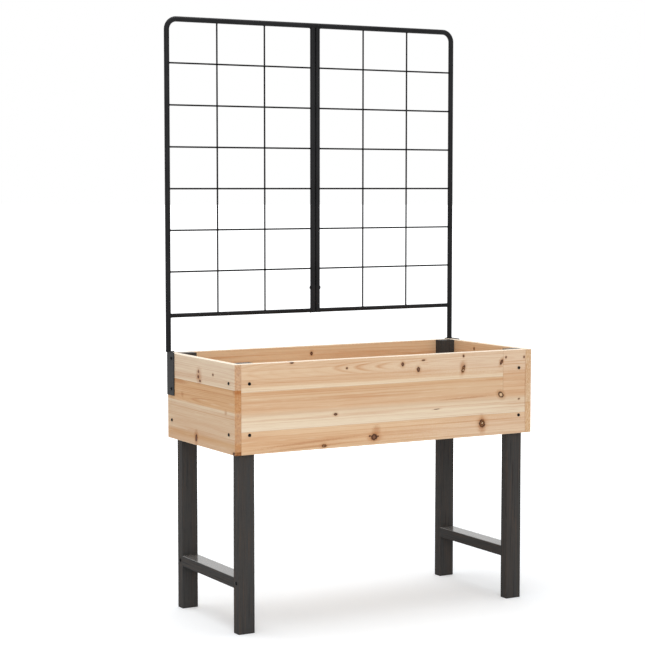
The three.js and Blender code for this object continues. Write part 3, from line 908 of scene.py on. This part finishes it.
for side, sign in sides.items():
    beads, nuggets = [], []
    for number in (1, 2):
        name = f"{side}_upright_wire_{number}"
        x = sign * middle(name).x
        centre = (x, middle(name).y)
        wire = straight(sign, False, centre, wire_radius, from_rail, to_top_tube, count=20)
        piece(f"{name}_drawn", [wire], thin_powder, "black_steel", name)
        beads.append(weld_bead(sign, False, centre, wire_radius, from_rail, wire_bead, 5))
        beads.append(weld_bead(sign, False, centre, wire_radius, to_top_tube, wire_bead, 5))
        for row in range(1, 7):
            level = middle(f"{side}_level_wire_{row}").z
            nuggets.append(weld_nugget((sign * x, tube_y, level)))
    for row in range(1, 7):
        name = f"{side}_level_wire_{row}"
        centre = (middle(name).z, middle(name).y)
        wire = straight(sign, True, centre, wire_radius, from_post, to_frame_tube, count=20)
        piece(f"{name}_drawn", [wire], thin_powder, "black_steel", name)
        beads.append(weld_bead(sign, True, centre, wire_radius, from_post, wire_bead, 5))
        beads.append(weld_bead(sign, True, centre, wire_radius, to_frame_tube, wire_bead, 5))
    centre = (rail_z, tube_y)
    beads.append(weld_bead(sign, True, centre, rail_radius, from_post, bead, 14))
    beads.append(weld_bead(sign, True, centre, rail_radius, to_frame_tube, bead, 14))
    centre = (post_x, tube_y)
    beads.append(weld_bead(sign, False, centre, tube_radius, to_top_tube, post_bead, 17))
    centre = (tube_x, tube_y)
    foot = tube_foot - weld_gap
    beads.append(weld_bead(sign, False, centre, tube_radius - 0.0004, lambda d: foot, bead, 17))
    piece(f"{side}_weld_beads", beads, black_powder, "black_steel", ring=True)
    piece(f"{side}_weld_nuggets", nuggets, black_powder, "black_steel")

# ---------------------------------------------------------------- foot brackets
# Sheet steel, 2 mm, folded round each rear corner of the box, with a tongue over the rim that the
# frame tube stands on. Sheared, folded, welded to the tube and powder coated with it.

sheet_half, sheared = 0.001, 0.00025
under_tongue = 0.00006  # the sheet ends this far below the tongue's top, so no faces coincide
bracket_low, bracket_high = 0.5083, 0.6103
flange_front, flange_back_end = 0.1373, 0.3823
flange_x, flange_y = 0.4013, 0.1763
fold_radius = 0.0025
tongue_front = tube_y - 2 * tube_radius


def folded_sheet(sign):
    """The sheet's middle line, along the back, round the fold and along the side, with a
    rectangular section that has its corners sheared off, carried along it."""
    turn = np.linspace(0, quarter, 9)
    fold_x, fold_y = flange_x - fold_radius, flange_y - fold_radius
    x = np.concatenate([[flange_back_end, fold_x - 0.002], fold_x + fold_radius * np.sin(turn)])
    x = np.concatenate([x, [flange_x, flange_x]])
    y = np.concatenate([[flange_y, flange_y], fold_y + fold_radius * np.cos(turn)])
    y = np.concatenate([y, [fold_y - 0.002, flange_front]])
    turned = np.concatenate([[0, 0], turn, [quarter, quarter]])
    h, c, low, high = sheet_half, sheared, bracket_low, bracket_high - under_tongue
    out = np.array([c - h, h - c, h, h, h - c, c - h, -h, -h])
    level = np.array([low, low, low + c, high - c, high, high, high - c, low + c])
    px = x[:, None] + out * np.sin(turned)[:, None]
    py = y[:, None] + out * np.cos(turned)[:, None]
    return np.stack([sign * px, py, level + 0 * px], -1)


def tongue_plate(sign):
    """A flat outline, half round about the tube and square in front, at four levels, the lowest
    and highest drawn in by the shearing."""
    outer, inner = flange_x + sheet_half, tube_x - tube_radius
    start = math.acos((outer - tube_x) / tube_radius)
    turn = np.linspace(start, math.pi, 24)
    x = np.concatenate([tube_x + tube_radius * np.cos(turn), [inner, outer]])
    y = np.concatenate([tube_y + tube_radius * np.sin(turn), [tongue_front] * 2])
    middle_x, middle_y = (outer + inner) / 2, (tongue_front + tube_y) / 2
    low, high = bracket_high - 2 * sheet_half, bracket_high
    levels = np.array([low, low + sheared, high - sheared, high])[:, None]
    share = np.array([0.96, 1, 1, 0.96])[:, None]
    px, py = middle_x + share * (x - middle_x), middle_y + share * (y - middle_y)
    return np.stack([sign * px, py, levels + 0 * px], -1)


for side, sign in sides.items():
    name = f"{side}_foot_bracket"
    grids = [folded_sheet(sign), tongue_plate(sign)]
    piece(f"{name}_folded", grids, black_powder, "black_steel", name)

# ---------------------------------------------------------------- screws
# Pan-head steel screws, 4 by 30 mm, with a cross recess, zinc plated and passivated black: into
# the legs through each panel and each foot bracket, and, with a larger head, through each leg
# into the stretcher.

head_radius, head_height = 0.0037, 0.0022
shank_radius, screw_length, screw_point = 0.002, 0.030, 0.005
stretcher_head_radius, stretcher_head_height = 0.00425, 0.0025
seat = 0.0003  # the head's underside stands this far off the face


def black_zinc(name):
    """Black passivated zinc: a dark, slightly cloudy metal."""
    material = bpy.data.materials.new(name)
    tree = blank_tree(material)
    place = node(tree, "TexCoord").outputs["Object"]
    cloud = node(tree, "TexNoise", {"Vector": place, "Scale": 900.0, "Detail": 3.0})
    colour = node(tree, "MapRange", [cloud, 0.3, 0.7, 0.0, 1.0], **eased)
    colour = node(tree, "MixRGB", [colour, "#0c0c0d", "#171718"])
    roughness = node(tree, "MapRange", [cloud, 0.3, 0.7, 0.30, 0.48], **eased)
    bump = node(tree, "Bump", {"Height": cloud, "Strength": 0.1, "Distance": 0.0001})
    inputs = {"Base Color": colour, "Roughness": roughness, "Metallic": 0.85, "Normal": bump}
    surface = node(tree, "BsdfPrincipled", inputs)
    node(tree, "OutputMaterial", {"Surface": surface})
    return material


def cross_head(radius, height, shank, length, point):
    """A pan head with a cross recess on a shank: rings of 32 points, [ring, point, (across, up,
    out)]. The dome is h (0.35 + 0.65 sqrt(1 - (r/R)^2.2)). In the recess, half an arm's angle at
    radius r is asin(w/r), so that the arms keep their width w; each wall is two rings or two
    points in one place, at the dome's height and at the recess's."""
    arm, reach, deep = 0.13 * radius, 0.56 * radius, 0.55 * height
    corner = arm * math.sqrt(2)

    def dome(r):
        return height * (0.35 + 0.65 * np.sqrt(np.clip(1 - (r / radius) ** 2.2, 0, 1)))

    in_arm = np.array([0, 0, 0, 1, 1, 1, 0, 0], bool)
    rings = []
    steps = [(0, "all"), (corner, "all"), (corner, "arm"), (reach, "arm"), (reach, "none")]
    for r, level in steps:
        edge = quarter / 2 if r <= corner else math.asin(arm / r)
        between = (edge + quarter / 2) / 2
        angles = np.array([-quarter / 2, -between, -edge, -edge, 0, edge, edge, between])
        sunk = {"all": in_arm | True, "arm": in_arm, "none": in_arm & False}[level]
        heights = np.where(sunk, dome(0) - deep, dome(r))
        rings.append((r, angles, heights))
    even = np.linspace(-quarter / 2, quarter / 2, 9)[:-1]
    shares = np.array([0.70, 0.82, 0.92, 0.975, 1.0])
    rings += [(radius * s, even, dome(radius * s) + 0 * even) for s in shares]
    hidden = [(radius, 0.0), (shank, 0.0), (shank, point - length), (0.0, -length)]
    rings += [(r, even, 0 * even + level) for r, level in hidden]
    r = np.array([ring[0] for ring in rings])[:, None]
    a = np.array([np.concatenate([ring[1] + k * quarter for k in range(4)]) for ring in rings])
    out = np.array([np.tile(ring[2], 4) for ring in rings])
    return np.stack([r * np.cos(a), r * np.sin(a), out], -1)


def driven(shape, place, outward, turn):
    """Turns a shape about its own axis and sets it on a face that looks outward, along X or Y."""
    across, up, out = np.moveaxis(shape, -1, 0)
    across, up = (
        across * math.cos(turn) - up * math.sin(turn),
        across * math.sin(turn) + up * math.cos(turn),
    )
    normal = np.array(outward, float)
    beside = np.array([-normal[1], normal[0], 0])
    upward = np.array([0, 0, 1.0])
    local = across[..., None] * beside + up[..., None] * upward + out[..., None] * normal
    return np.array(place) + local


black_screw = black_zinc("black_zinc_plate")
shank = shank_radius, screw_length, screw_point
panel_screw = cross_head(head_radius, head_height, *shank)
stretcher_screw = cross_head(stretcher_head_radius, stretcher_head_height, *shank)
leg_x, leg_y, side_screw_y = 0.3637, 0.1467, 0.1522
front_y, rear_y, side_x, bracket_x, leg_face_x = 0.175, 0.175, 0.400, 0.4023, 0.3837
low_z, high_z, bracket_z, bracket_top_z, tenon_z = 0.450, 0.564, 0.5233, 0.5953, 0.1145
turn_step = 0.61  # each screw's cross stands a little further round than the last
turns = 0
for side, sign in sides.items():
    ahead, behind, beside = (0, -1, 0), (0, 1, 0), (sign, 0, 0)
    places = {
        "front_screw_1": (leg_x, -front_y, low_z, ahead),
        "front_screw_2": (leg_x, -front_y, high_z, ahead),
        "panel_screw_1": (side_x, -leg_y, low_z, beside),
        "panel_screw_2": (side_x, -leg_y, high_z, beside),
        "panel_screw_3": (side_x, side_screw_y, low_z, beside),
        "bracket_screw_1": (bracket_x, side_screw_y, bracket_z, beside),
        "bracket_screw_2": (bracket_x, side_screw_y, bracket_top_z, beside),
        "rear_screw_1": (leg_x, rear_y, low_z, behind),
        "rear_screw_2": (leg_x, rear_y, high_z, behind),
        "stretcher_screw_1": (leg_face_x, -leg_y, tenon_z, beside),
        "stretcher_screw_2": (leg_face_x, leg_y, tenon_z, beside),
    }
    for name, (x, y, z, outward) in places.items():
        turns += 1
        place = np.array([sign * x, y, z]) + seat * np.array(outward)
        scene_only = name.startswith(("rear", "stretcher"))
        stood_for = [] if scene_only else [f"{side}_{name}"]
        shape = stretcher_screw if name.startswith("stretcher") else panel_screw
        screw = driven(shape, place, outward, turn_step * turns)
        piece(f"{side}_{name}_cross", [screw], black_screw, "black_fasteners", *stood_for)

# ---------------------------------------------------------------- joining bolt
# A 4 mm bolt and a barrel nut, with low round heads, through both posts a little above the rails.
# They draw the two halves of the trellis together.

post_outer = post_x + tube_radius
bolt_z = 0.750
bolt_radius, bolt_length, bolt_head, bolt_head_height = 0.002, 0.014, 0.0042, 0.0011
bolt_point, bolt_turn = 0.0005, 0.3
barrel_radius, barrel_inset, spare_thread = 0.003, 0.0015, 0.001

bolt = cross_head(bolt_head, bolt_head_height, bolt_radius, bolt_length, bolt_point)
bolt = driven(bolt, (-post_outer - seat, tube_y, bolt_z), (-1, 0, 0), bolt_turn)
piece("joining_bolt_cross", [bolt], black_screw, "black_fasteners", "joining_bolt")


def barrel_nut():
    """A profile turned about the bolt's axis: the low dome h (0.35 + 0.65 sqrt(1 - (r/R)^2.2)) of
    the head, down the barrel, and back up its bore to a closed end."""
    share = np.linspace(0, 1, 8)
    dome = bolt_head_height * (0.35 + 0.65 * np.sqrt(1 - share**2.2))
    under, opening = post_outer + seat, barrel_inset - post_outer
    bore, bore_end = bolt_radius + seat, bolt_length + spare_thread - under
    below = [bolt_head, barrel_radius, barrel_radius, bore, bore, 0]
    r = np.concatenate([bolt_head * share, below])
    x = np.concatenate([under + dome, [under, under, opening, opening, bore_end, bore_end]])
    a = around(32)
    y, z = tube_y + r[:, None] * np.sin(a), bolt_z + r[:, None] * np.cos(a)
    return np.stack([x[:, None] + 0 * a, y, z], -1)


piece("joining_nut_barrel", [barrel_nut()], black_screw, "black_fasteners", "joining_nut")
